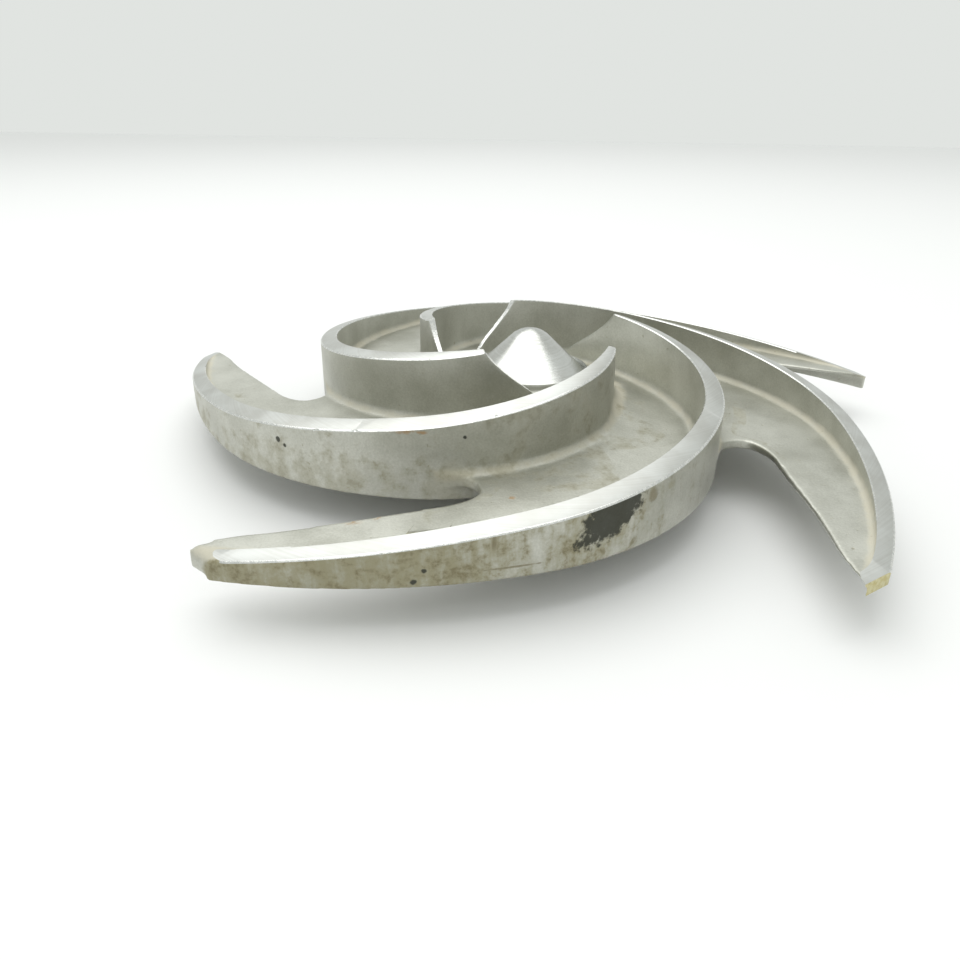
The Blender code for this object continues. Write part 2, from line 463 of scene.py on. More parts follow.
def scallop_outline():
    """One scallop in plan: its free edge, the next vane's wall and a way back outside the rim."""
    free_edge = smooth_line([polar(*pair) for pair in FREE_EDGE], EDGE_PIECES)
    one_arm_back = Matrix.Rotation(-ARM_TURN, 2)
    neighbour = [one_arm_back @ (place + across * vane_thickness(walked) * INSIDE_VANE)
                 for place, across, walked in vane_stations]
    neighbour = [point for point in neighbour if point.length > ROOT_MEETS_VANE][::-1]
    first = atan2(neighbour[-1].y, neighbour[-1].x)
    last = atan2(free_edge[0].y, free_edge[0].x)
    outside = []
    for step in range(FAR_PIECES + 1):
        angle = first + (last - first) * step / FAR_PIECES
        outside.append(Vector((cos(angle), sin(angle))) * FAR_RADIUS)
    return free_edge + neighbour + outside


def make_scallops():
    """The cutter for all five scallops."""
    work = bmesh.new()
    corners = [work.verts.new((point.x * MM, point.y * MM, level(CUTTER_FOOT)))
               for point in scallop_outline()]
    grown = bmesh.ops.extrude_face_region(work, geom=[work.faces.new(corners)])["geom"]
    bmesh.ops.translate(work, verts=vertices_of(grown), vec=(0.0, 0.0, CUTTER_HEIGHT * MM))
    return repeat_round_shaft(to_object(work, "scallops"))


scallops = make_scallops()
for piece in [blank] + coves:
    cut(piece, scallops, keep_tool=True)
bpy.data.objects.remove(scallops)

# %% [markdown]
# ## A worn tip
#
# The front left tip has lost its corners. Sculpting would round it too, but a block that cuts the corners
# off can be placed by numbers, and the smoothing that follows the pouring rounds what it leaves. The same
# block saws another tip later on.

# %% Cut the corners off the worn tip
WORN_ARM = 4
WORN_END = (-53.5, 163.4, 20.0, 90.0)
WORN_TOP = (-53.5, 155.0, 22.6, 20.0)
BLOCK_SIZE = 24.0


def tip_block(arm, degrees, radius, height, tilt):
    """A block for cutting at a tip; its lower face passes through a point and tilts outwards."""
    work = bmesh.new()
    bmesh.ops.create_cube(work, size=BLOCK_SIZE * MM)
    stand = Matrix.Translation((0.0, 0.0, BLOCK_SIZE * MM / 2))
    lean = Matrix.Rotation(radians(tilt), 4, "Y")
    place = Matrix.Translation((radius * MM, 0.0, level(height)))
    turned = Matrix.Rotation(radians(degrees) + ARM_TURN * arm, 4, "Z")
    bmesh.ops.transform(work, verts=work.verts, matrix=turned @ place @ lean @ stand)
    return to_object(work, "tip_block")


for place in (WORN_END, WORN_TOP):
    block = tip_block(WORN_ARM, *place)
    for piece in [blank, walls] + coves:
        cut(piece, block, keep_tool=True)
    bpy.data.objects.remove(block)
print("the worn tip ends at radius", WORN_END[1], "mm")

# %% [markdown]
# ## Pouring the casting
#
# Boolean unions would leave knife-sharp seams between wall, fillet and shroud. A voxel remesh pours all the
# pieces into one skin instead, and a few rounds of smoothing melt the corners as sand does. It is done fine
# and then thinned, because thinning keeps small triangles where the surface bends and few where it is flat.
# Near the worn tip the smoothing goes on for longer.

# %% Pour, smooth and thin the casting
VOXEL = 0.55
SMOOTH_ROUNDS = 12
WEAR_ROUNDS = 120
SMOOTHING = 0.5
WORN_SPOT = (-53.5, 163.0, 18.0)
WORN_REACH = 8.0
CAST_TRIANGLES = 150000


def vertices_near(item, spot, reach):
    """Numbers of the vertices within reach of a spot at the worn tip."""
    degrees, radius, height = spot
    place = (Matrix.Rotation(ARM_TURN * WORN_ARM, 2) @ polar(radius, degrees)) * MM
    centre = Vector((place.x, place.y, level(height)))
    return [vertex.index for vertex in item.data.vertices if (vertex.co - centre).length < reach * MM]


def pour(pieces, name):
    """All pieces in one mesh, remeshed to a single skin."""
    work = bmesh.new()
    for piece in pieces:
        work.from_mesh(piece.data)
        bpy.data.objects.remove(piece)
    poured = to_object(work, name)
    remesh = poured.modifiers.new("pour", "REMESH")
    remesh.mode = "VOXEL"
    remesh.voxel_size = VOXEL * MM
    bake_modifiers(poured)
    return poured


def soften(item, name, group, rounds):
    """Smooth an object, or only one group of its vertices."""
    melt = item.modifiers.new(name, "SMOOTH")
    melt.factor = SMOOTHING
    melt.iterations = rounds
    melt.vertex_group = group


casting = pour([blank, walls] + coves, "impeller_casting")
worn = casting.vertex_groups.new(name="worn_tip")
worn.add(vertices_near(casting, WORN_SPOT, WORN_REACH), 1.0, "REPLACE")
soften(casting, "melt", "", SMOOTH_ROUNDS)
soften(casting, "wear", worn.name, WEAR_ROUNDS)
thin = casting.modifiers.new("thin", "DECIMATE")
thin.ratio = min(1.0, CAST_TRIANGLES / (2 * len(casting.data.polygons)))
bake_modifiers(casting)
print("the casting has", len(casting.data.polygons), "faces")

# %% [markdown]
# ## Machining
#
# The lathe trues the nose, the cone of the vane tops, the rim, the hub's back face and the shaft bore. All
# of these are round, so they are one profile: the space that the finished impeller may fill. Keeping only
# what lies inside it makes every cut at once, and the cut faces bring the tool's own material with them.

# %% Machine the casting
NOSE = [(0.0, 51.5), (2.2, 51.3), (4.6, 50.6), (7.0, 49.2), (22.5, 34.4)]
NOSE_FOOT_RADIUS = 24.0
NOSE_FOOT_HEIGHT = 34.0
BORE_RADIUS = 14.0
BORE_DEPTH = 34.0
BORE_CHAMFER = 1.5


def new_material(name):
    """An empty finish, painted later on."""
    material = bpy.data.materials.new(name)
    material.use_nodes = True
    return material


cast_steel = new_material("cast_steel")
turned_steel = new_material("turned_steel")
# The filed finish is painted brighter: partly fresh filed metal, partly a painted highlight for the glint on
# the chamfers and knocks.
filed_steel_and_glint = new_material("filed_steel_and_glint")
sawn_steel = new_material("sawn_steel")


def make_envelope():
    """The space that the finished impeller may fill: nose, vane tops, rim, hub face and bore."""
    bore = [(BORE_RADIUS + BORE_CHAMFER, 0.0), (BORE_RADIUS, BORE_CHAMFER), (BORE_RADIUS, BORE_DEPTH),
            (0.0, BORE_DEPTH)]
    outside = [(NOSE_FOOT_RADIUS, NOSE_FOOT_HEIGHT), (NOSE_FOOT_RADIUS, top_height(NOSE_FOOT_RADIUS)),
               (OUTER_RADIUS, TOP_HEIGHT_AT_RIM), (OUTER_RADIUS, 0.0)]
    return spin_profile("envelope", NOSE + outside + bore)


def machine(tool, material, operation="DIFFERENCE"):
    """Cut the casting with a tool that leaves its own surface."""
    tool.data.materials.append(material)
    cut(casting, tool, operation)


casting.data.materials.append(cast_steel)
machine(make_envelope(), turned_steel, "INTERSECT")
print("machined:", len(casting.data.polygons), "faces")

# %% [markdown]
# ## Thread
#
# The shaft screws into the bore. A thread is a V-shaped groove that climbs one pitch with each turn, which
# is one spin of a triangle that also rises. The groove starts below the hub, so it runs out into the open.

# %% Cut the thread
THREAD_PITCH = 3.0
THREAD_DEPTH = 1.5
THREAD_TURNS = 9
THREAD_STEPS = 40
GROOVE_SHARE = 0.42
GROOVE_OPENS = 0.5


def make_thread_cutter():
    """A triangle that climbs one pitch with each turn, open a little way into the bore."""
    work = bmesh.new()
    half = THREAD_PITCH * GROOVE_SHARE
    inner = BORE_RADIUS - GROOVE_OPENS
    outline = [(inner, -half), (BORE_RADIUS + THREAD_DEPTH, 0.0), (inner, half)]
    corners = [work.verts.new((radius * MM, 0.0, level(height - THREAD_PITCH)))
               for radius, height in outline]
    climb = (0.0, 0.0, THREAD_PITCH * MM / THREAD_STEPS)
    bmesh.ops.spin(work, geom=[work.faces.new(corners)], cent=ORIGIN, axis=SHAFT, dvec=climb,
                   angle=tau * THREAD_TURNS, steps=THREAD_TURNS * THREAD_STEPS)
    return to_object(work, "thread_cutter")


machine(make_thread_cutter(), turned_steel)
print("threaded:", len(casting.data.polygons), "faces")

# %% [markdown]
# ## Grinding and filing
#
# The founder grinds the leading edges and then breaks the sharp edges of the turned vane tops with a file.
# A bevel modifier would stumble over the many small faces along those edges. The edges are known lines,
# though, so a thin wedge swept along each vane shaves them off.

# %% Grind and file the edges
EDGE_BREAK = 0.45
WEDGE = 1.0
HOLLOW_EDGE_STARTS = 24.0


def edge_wedge(name, number):
    """A wedge that shaves off one top edge of the wall: 0 is the convex edge and 1 the hollow edge."""
    def outline(station):
        side, top = wall_sides(station)[number]
        out = 1 if number else -1
        outer = side + out * WEDGE
        inner = side - out * (EDGE_BREAK + WEDGE)
        return [(outer, top - EDGE_BREAK - WEDGE), (inner, top + WEDGE), (outer, top + WEDGE)]

    filed = [station for station in vane_stations if not number or station[2] > HOLLOW_EDGE_STARTS]
    return repeat_round_shaft(sweep(name, outline, filed))


# Ground and filed faces take the filed finish, whose brighter colour is partly a painted highlight.
machine(repeat_round_shaft(make_edge_cutter(0.0, GRIND_TO)), filed_steel_and_glint)
for number, name in enumerate(("convex_file", "hollow_file")):
    machine(edge_wedge(name, number), filed_steel_and_glint)
print("ground and filed:", len(casting.data.polygons), "faces")

# %% [markdown]
# ## Wear
#
# This impeller has been in use. The tip of its front right arm is sawn off flat, and small knocks line the
# convex edges of the vane tops. A painted normal would show them from above only, so each knock is a small
# stretched ball that is cut out of the edge.

# %% Saw one tip and knock the edges
SAWN_ARM = 0
SAWN_END = (-52.4, 163.3, 20.0, 90.0)
SAWN_FOOT = (-52.4, 157.0, 13.2, 160.0)
KNOCKS = 90
KNOCK_SIZES = (0.35, 0.9)
KNOCK_INSET = 0.4
KNOCK_STRETCH = (0.7, 1.6)
KNOCK_RISE = (0.2, 0.8)
UNKNOCKED_AT_TIP = 2
UNKNOCKED_AT_EYE = 10
chance = Random(7)


def make_knocks():
    """Small balls along the convex top edges, each on an arm of its own choice."""
    work = bmesh.new()
    for _ in range(KNOCKS):
        station = chance.choice(vane_stations[UNKNOCKED_AT_TIP:-UNKNOCKED_AT_EYE])
        side, top = wall_sides(station)[0]
        spot = station[0] + station[1] * (side - chance.uniform(0.0, KNOCK_INSET))
        size = chance.uniform(*KNOCK_SIZES)
        ball = bmesh.ops.create_icosphere(work, subdivisions=2, radius=size * MM)["verts"]
        stretch = Vector([chance.uniform(*KNOCK_STRETCH) for _ in range(3)])
        bmesh.ops.scale(work, verts=ball, vec=stretch)
        centre = Vector((spot.x * MM, spot.y * MM, level(top + size * chance.uniform(*KNOCK_RISE))))
        bmesh.ops.translate(work, verts=ball, vec=centre)
        turned = Matrix.Rotation(ARM_TURN * chance.randrange(VANE_COUNT), 3, "Z")
        bmesh.ops.rotate(work, verts=ball, cent=ORIGIN, matrix=turned)
    return to_object(work, "knocks")


machine(tip_block(SAWN_ARM, *SAWN_END), sawn_steel)
machine(tip_block(SAWN_ARM, *SAWN_FOOT), cast_steel)
# The knocks take the filed finish too, so their bright colour is partly fresh metal and partly a painted
# highlight.
machine(make_knocks(), filed_steel_and_glint)
print("worn:", len(casting.data.polygons), "faces")

# %% [markdown]
# ## Crumbs
#
# A cut can leave crumbs: slivers without any thickness along a seam, or a scrap of steel that nothing holds
# any more. They are too small to see, but a printed or measured mesh would have them. Faces that lie back to
# back on the same corners go first. Then walking from face to face over shared edges finds each connected
# piece, and only the largest stays.

# %% Blow off the crumbs
SAME_PLACE = 7


def back_to_back(work):
    """Faces that share all their corners' places with another face."""
    groups = {}
    for face in work.faces:
        corners = frozenset(tuple(round(value, SAME_PLACE) for value in vertex.co) for vertex in face.verts)
        groups.setdefault(corners, []).append(face)
    return [face for group in groups.values() if len(group) > 1 for face in group]


def connected_pieces(work):
    """Groups of faces that hang together over shared edges, the largest last."""
    waiting = set(work.faces)
    pieces = []
    while waiting:
        piece = [waiting.pop()]
        for face in piece:
            beside = {other for edge in face.edges for other in edge.link_faces} & waiting
            waiting -= beside
            piece.extend(beside)
        pieces.append(piece)
    return sorted(pieces, key=len)


def blow_off_crumbs(item):
    work = bmesh.new()
    work.from_mesh(item.data)
    slivers = back_to_back(work)
    bmesh.ops.delete(work, geom=slivers, context="FACES")
    loose = [face for piece in connected_pieces(work)[:-1] for face in piece]
    bmesh.ops.delete(work, geom=loose, context="FACES")
    work.to_mesh(item.data)
    work.free()
    print("blown off:", len(slivers), "back to back and", len(loose), "loose faces")


blow_off_crumbs(casting)

# %% [markdown]
# ## Smooth and sharp edges
#
# Cast faces should flow into each other and machined edges should stay crisp. Weighted normals would need a
# modifier, so the mesh is shaded smooth and only the edges past an angle are marked sharp.

# %% Shade
SHARP_ANGLE = 35.0
casting.data.shade_smooth()
casting.data.set_sharp_from_angle(angle=radians(SHARP_ANGLE))
print("edges are sharp from", SHARP_ANGLE, "degrees")

# %% [markdown]
# ## A chart of the casting
#
# Stains follow the vanes: they hang on one wall at some distance from its tip, or lie along its root. So
# each vertex gets coordinates of its own: which arm it belongs to, how far along the vane, how far across
# the wall, and how near to the root fillet. Textures can then be placed with plain distances.

# %% Chart every vertex
ROOT_REACH = 3.2
TIE_BREAK = 0.01


def vane_arrays():
    """The stations as arrays: place, across, onwards, distance walked and thickness."""
    places = np.array([tuple(place) for place, _, _ in vane_stations], np.float32)
    across = np.array([tuple(side) for _, side, _ in vane_stations], np.float32)
    onwards = np.stack([across[:, 1], -across[:, 0]], axis=1)
    walked = np.array([walked for _, _, walked in vane_stations], np.float32)
    thickness = np.array([vane_thickness(step) for step in walked], np.float32)
    return places, across, onwards, walked, thickness


def chart_arm(plan, arm):
    """How all points lie to the vane of one arm; the rank is lowest on the vane that a point belongs to."""
    stations, across, onwards, walked, thickness = vane_arrays()
    turned = Matrix.Rotation(-ARM_TURN * arm, 2)
    local = plan @ np.array(turned.transposed())
    gaps = ((local[:, None, :] - stations[None, :, :]) ** 2).sum(axis=2)
    nearest = gaps.argmin(axis=1)
    offset = local - stations[nearest]
    inside = (offset * across[nearest]).sum(axis=1)
    beside = np.maximum(np.maximum(-inside, inside - thickness[nearest]), 0.0)
    along = np.sqrt(np.maximum(gaps.min(axis=1) - inside ** 2, 0.0))
    off = beside + np.maximum(along - STATION_STEP, 0.0)
    return {"arm": np.full(len(plan), float(arm)),
            "walked": walked[nearest] + (offset * onwards[nearest]).sum(axis=1),
            "share": inside / thickness[nearest],
            "off": off,
            "rank": off + TIE_BREAK * np.abs(inside)}


def chart_all(plan):
    """For each point, its place on the nearest vane."""
    best = chart_arm(plan, 0)
    for arm in range(1, VANE_COUNT):
        found = chart_arm(plan, arm)
        closer = found["rank"] < best["rank"]
        best = {name: np.where(closer, found[name], best[name]) for name in best}
    return best


def store(item, name, values):
    """Keep one number for each vertex, for materials to read."""
    attribute = item.data.attributes.new(name, "FLOAT", "POINT")
    attribute.data.foreach_set("value", values.astype(np.float32))


def chart(item):
    """Give each vertex its arm, the distance walked, its share of the thickness and how near a root is."""
    places = np.empty(3 * len(item.data.vertices), np.float32)
    item.data.vertices.foreach_get("co", places)
    places = places.reshape(-1, 3) / MM
    found = chart_all(places[:, :2])
    for name in ("arm", "walked", "share"):
        store(item, name, found[name])
    shroud = np.interp(np.hypot(places[:, 0], places[:, 1]), *zip(*SHROUD_FRONT))
    above = np.abs(places[:, 2] - lowest.z / MM - shroud)
    store(item, "root", np.exp(-(found["off"] ** 2 + above ** 2) / ROOT_REACH ** 2))


chart(casting)
print("charted", len(casting.data.vertices), "vertices")

# %% [markdown]
# ## A small language for materials
#
# Node graphs are long to write, so a wrapped socket understands plus, minus and times, and each becomes a
# math node. One method makes every other node from its type, its settings and its sockets. A pattern then
# reads like the formula that it is.

# %% Wrapped sockets


class Field:
    """A number that varies over the surface."""

    def __init__(self, recipe, socket):
        self.recipe = recipe
        self.socket = socket

    def math(self, operation, *others):
        sockets = dict(enumerate((self,) + others))
        return self.recipe.node("ShaderNodeMath", {"operation": operation}, sockets)

    def __add__(self, other):
        return self.math("ADD", other)

    def __sub__(self, other):
        return self.math("SUBTRACT", other)

    def __rsub__(self, other):
        return (self * -1.0) + other

    def __mul__(self, other):
        return self.math("MULTIPLY", other)

    __radd__ = __add__
    __rmul__ = __mul__

    def __abs__(self):
        return self.math("ABSOLUTE")

    def squared(self):
        return self * self

    def most(self, other):
        return self.math("MAXIMUM", other)

    def ramp(self, low, high):
        """0 below low, 1 above high and smooth between them; low may be the larger."""
        settings = {"interpolation_type": "SMOOTHSTEP"}
        sockets = {"Value": self, "From Min": low, "From Max": high}
        return self.recipe.node("ShaderNodeMapRange", settings, sockets)

    def near(self, value, reach):
        """1 at a value, falling to 0 within a reach on both sides."""
        return abs(self - value).ramp(reach, 0.0)


class Recipe:
    """The node graph of one material."""

    def __init__(self, material):
        self.tree = material.node_tree
        self.shader = self.tree.nodes["Principled BSDF"]
        self.place = self.node("ShaderNodeTexCoord", {}, {}, "Object")

    def node(self, kind, settings, sockets, output=0):
        """Any node, from its type, its settings and its sockets."""
        made = self.tree.nodes.new(kind)
        for name, value in settings.items():
            setattr(made, name, value)
        for name, value in sockets.items():
            self.plug(value, made.inputs[name])
        return Field(self, made.outputs[output])

    def plug(self, value, socket):
        if isinstance(value, Field):
            self.tree.links.new(value.socket, socket)
        else:
            socket.default_value = value

    def set(self, **values):
        for name, value in values.items():
            self.plug(value, self.shader.inputs[name.replace("_", " ")])

    def attribute(self, name):
        return self.node("ShaderNodeAttribute", {"attribute_name": name}, {}, "Fac")

    def axis(self, name):
        return self.node("ShaderNodeSeparateXYZ", {}, {"Vector": self.place}, name)

    def vector(self, x, y, z=0.0):
        return self.node("ShaderNodeCombineXYZ", {}, {"X": x, "Y": y, "Z": z})

    def noise(self, scale, detail=3.0, roughness=0.55, vector=None):
        """Noise between 0 and 1; scale counts waves in a metre."""
        sockets = {"Vector": vector or self.place, "Scale": scale, "Detail": detail, "Roughness": roughness}
        return self.node("ShaderNodeTexNoise", {}, sockets, "Fac")

    def mix(self, factor, first, second):
        """A colour between two others."""
        sockets = {"Factor": factor, 6: first, 7: second}
        return self.node("ShaderNodeMix", {"data_type": "RGBA"}, sockets, 2)

    def bump(self, height, distance, strength=1.0):
        sockets = {"Height": height, "Distance": distance, "Strength": strength}
        return self.node("ShaderNodeBump", {}, sockets)


# %% [markdown]
# ## The casting and its stains
#
# As-cast stainless steel is dull, with a faint grain from the sand and darker clouds. Stains lie over it one
# by one, and each of them makes the metal duller as well. A photograph could be projected instead, but it
# would stretch on the walls and hold the light of the day. So one recipe keeps the patterns that all stains
# share, the colour so far and how stained it is.

# %% Patterns of the casting
STEEL_LIGHT = (0.62, 0.62, 0.565, 1.0)
STEEL_DARK = (0.44, 0.44, 0.385, 1.0)
CLOUDS = (45.0, 4.0)
GRAIN = (1400.0, 2.0)
BLOTS = (160.0, 5.0, 0.6)
FINE = (520.0, 4.0, 0.65)
CONVEX_SHARE = (0.4, 0.1)
ARM_REACH = 0.5
ARM_EDGE = (0.0, 0.2)


class CastRecipe(Recipe):
    """The cast surface: shared patterns, the colour so far and how stained it is."""

    def __init__(self, material):
        super().__init__(material)
        self.arm = self.attribute("arm")
        self.walked = self.attribute("walked")
        self.height = (self.axis("Z") - lowest.z) * (1.0 / MM)
        self.convex = self.attribute("share").ramp(*CONVEX_SHARE)
        self.clouds = self.noise(*CLOUDS)
        self.grain = self.noise(*GRAIN)
        self.blots = self.noise(*BLOTS)
        self.fine = self.noise(*FINE)
        mottle = (self.clouds * 0.7 + self.grain * 0.3).ramp(0.3, 0.7)
        self.colour = self.mix(mottle, STEEL_DARK, STEEL_LIGHT)
        self.stained = None

    def wall(self, number):
        """1 on the convex wall of one arm."""
        return self.arm.near(number, ARM_REACH).ramp(*ARM_EDGE) * self.convex

    def oval(self, place, high, long, tall):
        """Squared distance from a spot on a wall, 1 on an oval around it."""
        along = (self.walked - place) * (1.0 / long)
        up = (self.height - high) * (1.0 / tall)
        return along.squared() + up.squared()

    def tint(self, mask, strength, colour):
        """Mix a colour into the colour so far."""
        self.colour = self.mix(mask * strength, self.colour, colour)

    def stain(self, mask, strength, colour):
        """Tint the metal and make it duller."""
        self.tint(mask, strength, colour)
        self.stained = self.stained.most(mask) if self.stained else mask


cast = CastRecipe(cast_steel)
print("the bare casting takes", len(cast.tree.nodes), "nodes")

# %% [markdown]
# ## Scale and film
#
# A cream scale lies along the root fillets, where the water was slow. The front vane carries an olive film
# that ran down its outer wall, thick near the tip and around a black patch, and its neighbour is blotched.
# Both are the same idea: a field that says how much film to expect, broken up by noise of three sizes.

# %% Scale and film
CREAM_SCALE = (0.60, 0.56, 0.44, 1.0)
OLIVE_FILM = (0.30, 0.275, 0.165, 1.0)
BROWN_FILM = (0.19, 0.16, 0.085, 1.0)
SCALE_SPREAD = 0.45
SCALE_LIMITS = (0.40, 0.95)
FRONT_ARM = 4
LEFT_ARM = 3
SOOT_PLACE = (123.0, 28.5)
SOOT_SIZE = (11.5, 7.5)
SOOT_LEAN = 0.4
STREAKS = (14.0, 4.0, 0.6)
STREAK_LENGTHS = (0.02, 0.004)
TIP_FILM = (105.0, 62.0)
PATCH_FILM = (160.0, 110.0)
LOW_ON_WALL = (34.0, 16.0)
BLOTCH_LIMITS = (0.95, 1.2)
BROWN_LIMITS = (0.98, 1.3)
SCALE_STRENGTH = 0.65
FILM_STRENGTH = 0.9
BROWN_STRENGTH = 0.8


def root_scale(cast):
    """Scale in the root fillets."""
    return (cast.attribute("root") * (cast.blots + SCALE_SPREAD)).ramp(*SCALE_LIMITS)


def soot_oval(cast):
    """Squared distance from the black patch, which leans along the wall."""
    across, up = SOOT_PLACE
    wide, tall = SOOT_SIZE
    leaned = cast.height - up - (cast.walked - across) * SOOT_LEAN
    return ((cast.walked - across) * (1.0 / wide)).squared() + (leaned * (1.0 / tall)).squared()


def front_film(cast, patch):
    """The film on the front vane, streaked along the wall."""
    along, up = STREAK_LENGTHS
    streaks = cast.noise(*STREAKS, cast.vector(cast.walked * along, cast.height * up))
    expected = (cast.walked.ramp(*TIP_FILM) * 0.45 + 0.40 * cast.walked.ramp(*PATCH_FILM)
                + patch.ramp(4.0, 0.5) * 0.3)
    broken = (streaks - 0.5) * 1.4 + (cast.blots - 0.5) * 1.3 + (cast.fine - 0.5) * 0.7
    return cast.wall(FRONT_ARM) * (expected + broken).ramp(0.0, 1.0)


def left_blotches(cast):
    """Blotches on the left vane, most of them low on its wall."""
    spread = cast.blots + cast.clouds * 0.9 + cast.height.ramp(*LOW_ON_WALL) * 0.15
    return cast.wall(LEFT_ARM) * spread.ramp(*BLOTCH_LIMITS) * 0.4


patch = soot_oval(cast)
film = front_film(cast, patch).most(left_blotches(cast))
cast.stain(root_scale(cast), SCALE_STRENGTH, CREAM_SCALE)
cast.stain(film, FILM_STRENGTH, OLIVE_FILM)
cast.tint(film * (cast.blots + cast.fine).ramp(*BROWN_LIMITS), BROWN_STRENGTH, BROWN_FILM)
print("with scale and film", len(cast.tree.nodes), "nodes")

# %% [markdown]
# ## Marks, rust and soot
#
# Some stains are single marks: a few streaks on the walls, orange rust near the free edge of the shroud,
# dark specks, and a black patch of old sealant or soot. Each is an oval at its own place, and noise added to
# the distance from its middle frays its outline.

# %% Marks, rust and soot
RUST = (0.38, 0.215, 0.07, 1.0)
BLACK_PATCH = (0.04, 0.042, 0.03, 1.0)
WALL_MARKS = [(LEFT_ARM, (188.0, 38.8, 6.5, 1.6), RUST),
              (LEFT_ARM, (195.0, 38.4, 3.0, 0.9), RUST),
              (FRONT_ARM, (139.0, 30.5, 3.0, 4.0), BROWN_FILM),
              (FRONT_ARM, (148.0, 31.0, 4.0, 2.5), OLIVE_FILM),
              (FRONT_ARM, (90.0, 17.5, 13.0, 0.5), BROWN_FILM),
              (FRONT_ARM, (85.0, 26.0, 1.2, 3.5), BROWN_FILM)]
EDGE_RUST = [((-51.6, -113.3), 5.0), ((-45.0, -110.5), 3.0), ((-62.0, -133.0), 6.0), ((-71.0, -134.0), 4.0),
             ((-4.0, -95.5), 2.0), ((-84.0, -135.5), 1.5), ((-81.0, -137.0), 1.2)]
RUST_FROM = (19.0, 20.5)
RUST_UP_TO = (24.0, 22.5)
CRUMBS = (240.0, 4.0)
CRUMB_LIMITS = (0.46, 0.56)
SPECKS = [(FRONT_ARM, 62.0, 15.5, 1.3), (FRONT_ARM, 65.0, 19.0, 1.0), (LEFT_ARM, 140.0, 28.5, 1.4),
          (LEFT_ARM, 143.0, 27.0, 1.0), (LEFT_ARM, 209.0, 36.5, 0.9)]
SOOT_LIMITS = (0.62, 0.98)
MARK_STRENGTH = 0.75
RUST_STRENGTH = 0.8
SOOT_STRENGTH = 0.95


def wall_mark(cast, number, oval):
    """A frayed mark on the wall of one arm."""
    return cast.wall(number) * (cast.oval(*oval) + cast.blots * 1.6 + cast.fine * 1.6).ramp(2.3, 1.5)


def edge_rust(cast, place, reach, crumbs):
    """Crumbs of rust on the front of the shroud around a plan point."""
    x, y = place
    away = (cast.axis("X") * (1.0 / MM) - x).squared() + (cast.axis("Y") * (1.0 / MM) - y).squared()
    spot = (away * (1.0 / reach ** 2) + cast.fine * 1.8).ramp(1.5, 0.8)
    return spot * cast.height.ramp(*RUST_FROM) * cast.height.ramp(*RUST_UP_TO) * crumbs


def soot_and_specks(cast, patch):
    """The black patch on the front wall, and specks on two walls."""
    frayed = cast.blots * 1.5 + cast.fine * 1.3 - patch * 0.6
    soot = cast.wall(FRONT_ARM) * frayed.ramp(*SOOT_LIMITS)
    for number, place, high, size in SPECKS:
        spot = cast.oval(place, high, size, size) + cast.fine * 1.4
        soot = soot.most(cast.wall(number) * spot.ramp(1.5, 0.9))
    return soot


for number, oval, colour in WALL_MARKS:
    cast.stain(wall_mark(cast, number, oval), MARK_STRENGTH, colour)
crumbs = cast.noise(*CRUMBS).ramp(*CRUMB_LIMITS)
for place, reach in EDGE_RUST:
    cast.stain(edge_rust(cast, place, reach, crumbs), RUST_STRENGTH, RUST)
cast.stain(soot_and_specks(cast, patch), SOOT_STRENGTH, BLACK_PATCH)
print("with marks, rust and soot", len(cast.tree.nodes), "nodes")

# %% [markdown]
# ## Pits and gloss
#
# Sand leaves small pits, which look darker and are a little deeper. They and the grain bend the normal, as
# they are too fine for the mesh. Stained steel shines less than bare steel, so the stains reach the metal
# and the roughness too.

# %% Pits and gloss
PITS = (420.0, 2.0)
PIT_LIMITS = (0.70, 0.78)
PIT_STRENGTH = 0.5
CAST_RELIEF = 0.12
CAST_ROUGHNESS = 0.40
STAINS_ROUGHEN = 0.2
STAINS_DULL = 0.75

pits = cast.noise(*PITS).ramp(*PIT_LIMITS)
cast.tint(pits, PIT_STRENGTH, OLIVE_FILM)
relief = cast.grain * 0.6 + cast.blots - pits * 0.8
gloss = CAST_ROUGHNESS + cast.clouds * 0.12 + cast.stained * STAINS_ROUGHEN
cast.set(Base_Color=cast.colour, Metallic=1.0 - cast.stained * STAINS_DULL, Roughness=gloss,
         Normal=cast.bump(relief, CAST_RELIEF * MM))
print("cast steel takes", len(cast.tree.nodes), "nodes")

# %% [markdown]
# ## Machined steel
#
# A lathe leaves fine rings around the shaft. They're a noise that depends on the radius alone, which bends
# the normal a little and varies the gloss. The filed edges are brighter: partly fresh filed metal, partly a
# painted highlight for the glint along their small chamfers. The sawn tip has tarnished to the colour of
# straw.

# %% Machined steel
TURNED_COLOUR = (0.64, 0.65, 0.63, 1.0)
TURNED_DULL = (0.52, 0.52, 0.49, 1.0)
# Filed colour: partly fresh filed metal, partly a painted highlight for the glint on the edges.
FILED_COLOUR_AND_GLINT = (0.78, 0.78, 0.75, 1.0)
STRAW = (0.50, 0.44, 0.20, 1.0)
STRAW_LIGHT = (0.62, 0.58, 0.36, 1.0)
NOSE_ENDS = (30.0 * MM, 26.0 * MM)
RINGS = (1300.0, 3.0, 0.7)
TURNED_CLOUDS = (60.0, 4.0)
TURNED_RELIEF = 0.18
PLAIN_MARKS = (700.0, 4.0)
PLAIN_RELIEF = 0.06
FILED_ROUGHNESS = 0.22
SAWN_ROUGHNESS = 0.4


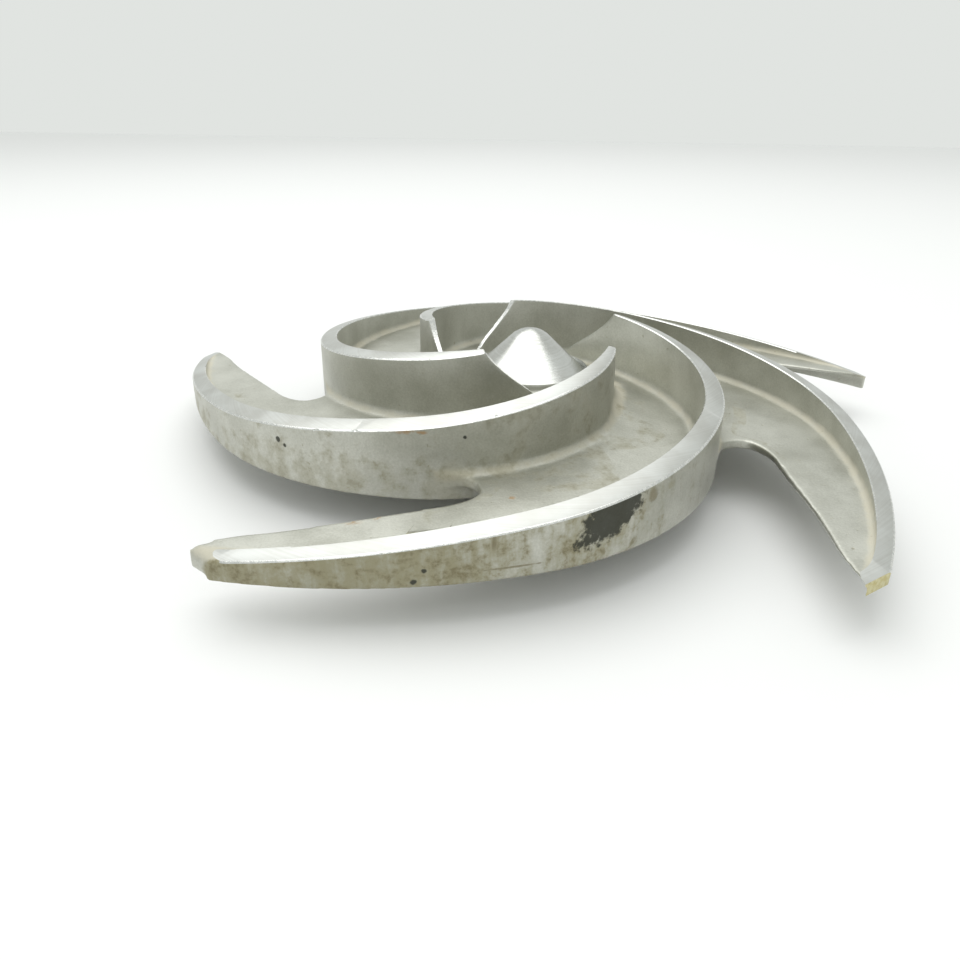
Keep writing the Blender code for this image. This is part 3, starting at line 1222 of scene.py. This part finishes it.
def paint_turned_steel():
    """Rings around the shaft, deep on the nose and faint on the vane tops."""
    recipe = Recipe(turned_steel)
    radius = (recipe.axis("X").squared() + recipe.axis("Y").squared()).math("SQRT")
    nose = radius.ramp(*NOSE_ENDS)
    rings = recipe.noise(*RINGS, recipe.vector(radius, 0.0))
    clouds = recipe.noise(*TURNED_CLOUDS)
    colour = recipe.mix((rings * 0.4 + clouds * 0.6).ramp(0.35, 0.65), TURNED_DULL, TURNED_COLOUR)
    recipe.set(Base_Color=colour, Metallic=1.0, Roughness=0.38 + clouds * 0.14 - nose * 0.22,
               Normal=recipe.bump(rings * (nose * 0.92 + 0.08), TURNED_RELIEF * MM))


def paint_plain(material, first, second, roughness):
    """Steel whose fine marks run every way."""
    recipe = Recipe(material)
    marks = recipe.noise(*PLAIN_MARKS)
    recipe.set(Base_Color=recipe.mix(marks.ramp(0.35, 0.65), first, second), Metallic=1.0,
               Roughness=roughness + marks * 0.1, Normal=recipe.bump(marks, PLAIN_RELIEF * MM))


paint_turned_steel()
paint_plain(filed_steel_and_glint, TURNED_COLOUR, FILED_COLOUR_AND_GLINT, FILED_ROUGHNESS)
paint_plain(sawn_steel, STRAW, STRAW_LIGHT, SAWN_ROUGHNESS)
print("the casting has", len(casting.data.materials), "materials")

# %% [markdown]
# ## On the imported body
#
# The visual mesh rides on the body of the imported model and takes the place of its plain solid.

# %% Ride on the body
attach(casting, "root")
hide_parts("impeller")
print("the casting rides on root")

# %% [markdown]
# ## Floor and light
#
# Bare metal shows what it mirrors, so the light has to be wide and even: a pale sky does most of it, and
# one large soft lamp overhead gives the shadows a direction. Spot lamps would leave hard glints on the
# turned cone. The floor is plain and pale, and it isn't part of the object.

# %% Floor, sky and lamps
FLOOR_SIZE = 4.0
FLOOR_WHITE = (0.9, 0.9, 0.9, 1.0)
FLOOR_ROUGHNESS = 0.5
SKY_COLOUR = (0.94, 0.97, 0.94, 1.0)
SKY_STRENGTH = 0.8
LAMP_PLACE = (-0.2, 0.3, 1.3)
LAMP_SIZE = 1.6
LAMP_POWER = 12.0


def make_floor():
    """A plain pale floor at the height on which the impeller rests."""
    work = bmesh.new()
    bmesh.ops.create_grid(work, x_segments=1, y_segments=1, size=FLOOR_SIZE / 2)
    item = to_object(work, "floor")
    item.data.transform(Matrix.Translation((0.0, 0.0, lowest.z)))
    paint = new_material("floor_paint")
    shader = paint.node_tree.nodes["Principled BSDF"]
    shader.inputs["Base Color"].default_value = FLOOR_WHITE
    shader.inputs["Roughness"].default_value = FLOOR_ROUGHNESS
    item.data.materials.append(paint)
    return item


def make_sky():
    """Even light from all around."""
    sky = bpy.data.worlds.new("studio")
    sky.use_nodes = True
    background = sky.node_tree.nodes["Background"]
    background.inputs["Color"].default_value = SKY_COLOUR
    background.inputs["Strength"].default_value = SKY_STRENGTH
    bpy.context.scene.world = sky


def soft_box(name, place, size, power):
    """A square lamp that faces the impeller."""
    lamp = bpy.data.lights.new(name, "AREA")
    lamp.size = size
    lamp.energy = power
    item = bpy.data.objects.new(name, lamp)
    item.location = place
    item.rotation_euler = (-Vector(place)).to_track_quat("-Z", "Y").to_euler()
    bpy.context.scene.collection.objects.link(item)


floor = make_floor()
make_sky()
soft_box("overhead", LAMP_PLACE, LAMP_SIZE, LAMP_POWER)
bpy.context.scene.view_settings.view_transform = "Standard"
print("one lamp of", LAMP_POWER, "W over a floor", FLOOR_SIZE, "m wide")

# %% [markdown]
# ## Triangle count
#
# The triangles of the finished mesh are counted.

# %% Count the triangles
casting.data.calc_loop_triangles()
print("the impeller has", len(casting.data.loop_triangles), "triangles")
